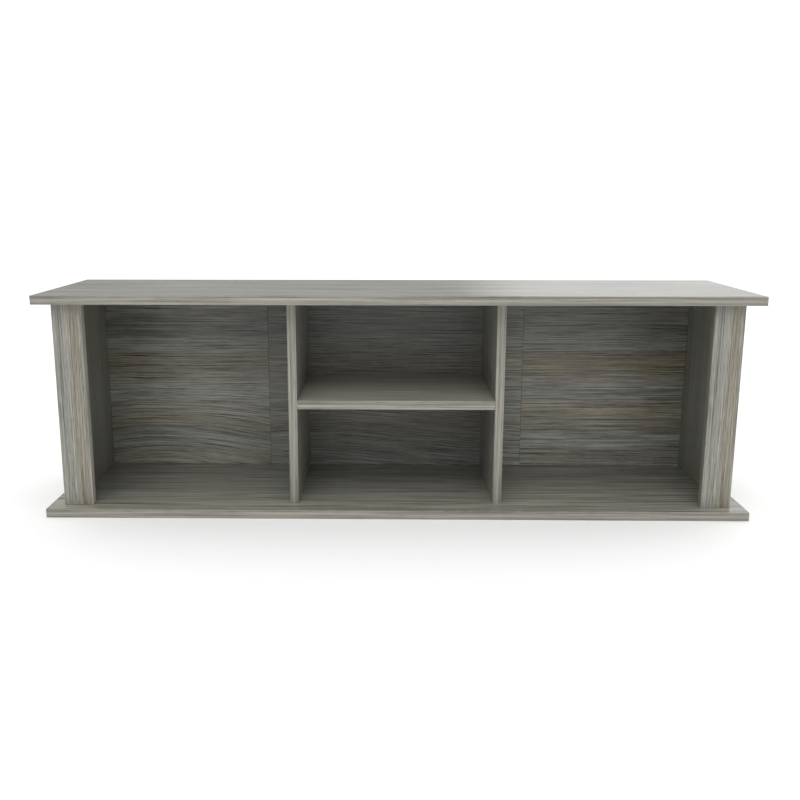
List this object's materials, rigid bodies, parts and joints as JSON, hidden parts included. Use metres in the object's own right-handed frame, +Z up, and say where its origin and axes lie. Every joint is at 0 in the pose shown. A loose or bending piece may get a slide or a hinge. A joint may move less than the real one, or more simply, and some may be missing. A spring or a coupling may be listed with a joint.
{
  "type": "desk hutch",
  "caption": "Low, wide desk hutch of grey woodgrain board: open bays for books and boxes, with a half-height shelf in the middle bay.",
  "frame": {"origin": "middle of the underside, where the hutch rests on the desk", "axes": "+X to the right and +Y to the rear, seen from the front, +Z up"},
  "size_m": [1.2, 0.3, 0.381],
  "materials": {
    "oak_laminate": "grey oak woodgrain melamine laminate, satin to semi-gloss",
    "edge_band": "grey oak printed edge band, semi-gloss",
    "cam_zinc": "bright die-cast zinc",
    "plated_steel": "yellow-white zinc plate",
    "beech_dowel": "fluted plain beech"
  },
  "bodies": {
    "root": {"back_board_centre": "oak_laminate", "back_board_left": "oak_laminate", "back_board_right": "oak_laminate", "back_dowel_centre_bottom": "beech_dowel", "back_dowel_centre_top": "beech_dowel", "back_dowel_left_bottom": "beech_dowel", "back_dowel_left_top": "beech_dowel", "back_dowel_right_bottom": "beech_dowel", "back_dowel_right_top": "beech_dowel", "base_screw_divider_left_front": "plated_steel", "base_screw_divider_left_rear": "plated_steel", "base_screw_divider_right_front": "plated_steel", "base_screw_divider_right_rear": "plated_steel", "base_screw_side_left_front": "plated_steel", "base_screw_side_left_rear": "plated_steel", "base_screw_side_right_front": "plated_steel", "base_screw_side_right_rear": "plated_steel", "bottom_panel": "oak_laminate", "bottom_panel_front_band": "edge_band", "bottom_panel_left_band": "edge_band", "bottom_panel_right_band": "edge_band", "cam_bolt_divider_left_front": "plated_steel", "cam_bolt_divider_left_rear": "plated_steel", "cam_bolt_divider_right_front": "plated_steel", "cam_bolt_divider_right_rear": "plated_steel", "cam_bolt_side_left_front": "plated_steel", "cam_bolt_side_left_rear": "plated_steel", "cam_bolt_side_right_front": "plated_steel", "cam_bolt_side_right_rear": "plated_steel", "cam_lock_divider_left_front": "cam_zinc", "cam_lock_divider_left_rear": "cam_zinc", "cam_lock_divider_right_front": "cam_zinc", "cam_lock_divider_right_rear": "cam_zinc", "cam_lock_side_left_front": "cam_zinc", "cam_lock_side_left_rear": "cam_zinc", "cam_lock_side_right_front": "cam_zinc", "cam_lock_side_right_rear": "cam_zinc", "centre_shelf": "oak_laminate", "centre_shelf_band": "edge_band", "divider_left": "oak_laminate", "divider_left_band": "edge_band", "divider_right": "oak_laminate", "divider_right_band": "edge_band", "front_stile_left": "oak_laminate", "front_stile_right": "oak_laminate", "shelf_screw_left_front": "plated_steel", "shelf_screw_left_rear": "plated_steel", "shelf_screw_right_front": "plated_steel", "shelf_screw_right_rear": "plated_steel", "side_panel_left": "oak_laminate", "side_panel_right": "oak_laminate", "stile_dowel_left_bottom": "beech_dowel", "stile_dowel_left_top": "beech_dowel", "stile_dowel_right_bottom": "beech_dowel", "stile_dowel_right_top": "beech_dowel", "top_panel": "oak_laminate", "top_panel_front_band": "edge_band", "top_panel_left_band": "edge_band", "top_panel_right_band": "edge_band"}
  },
  "joints": []
}
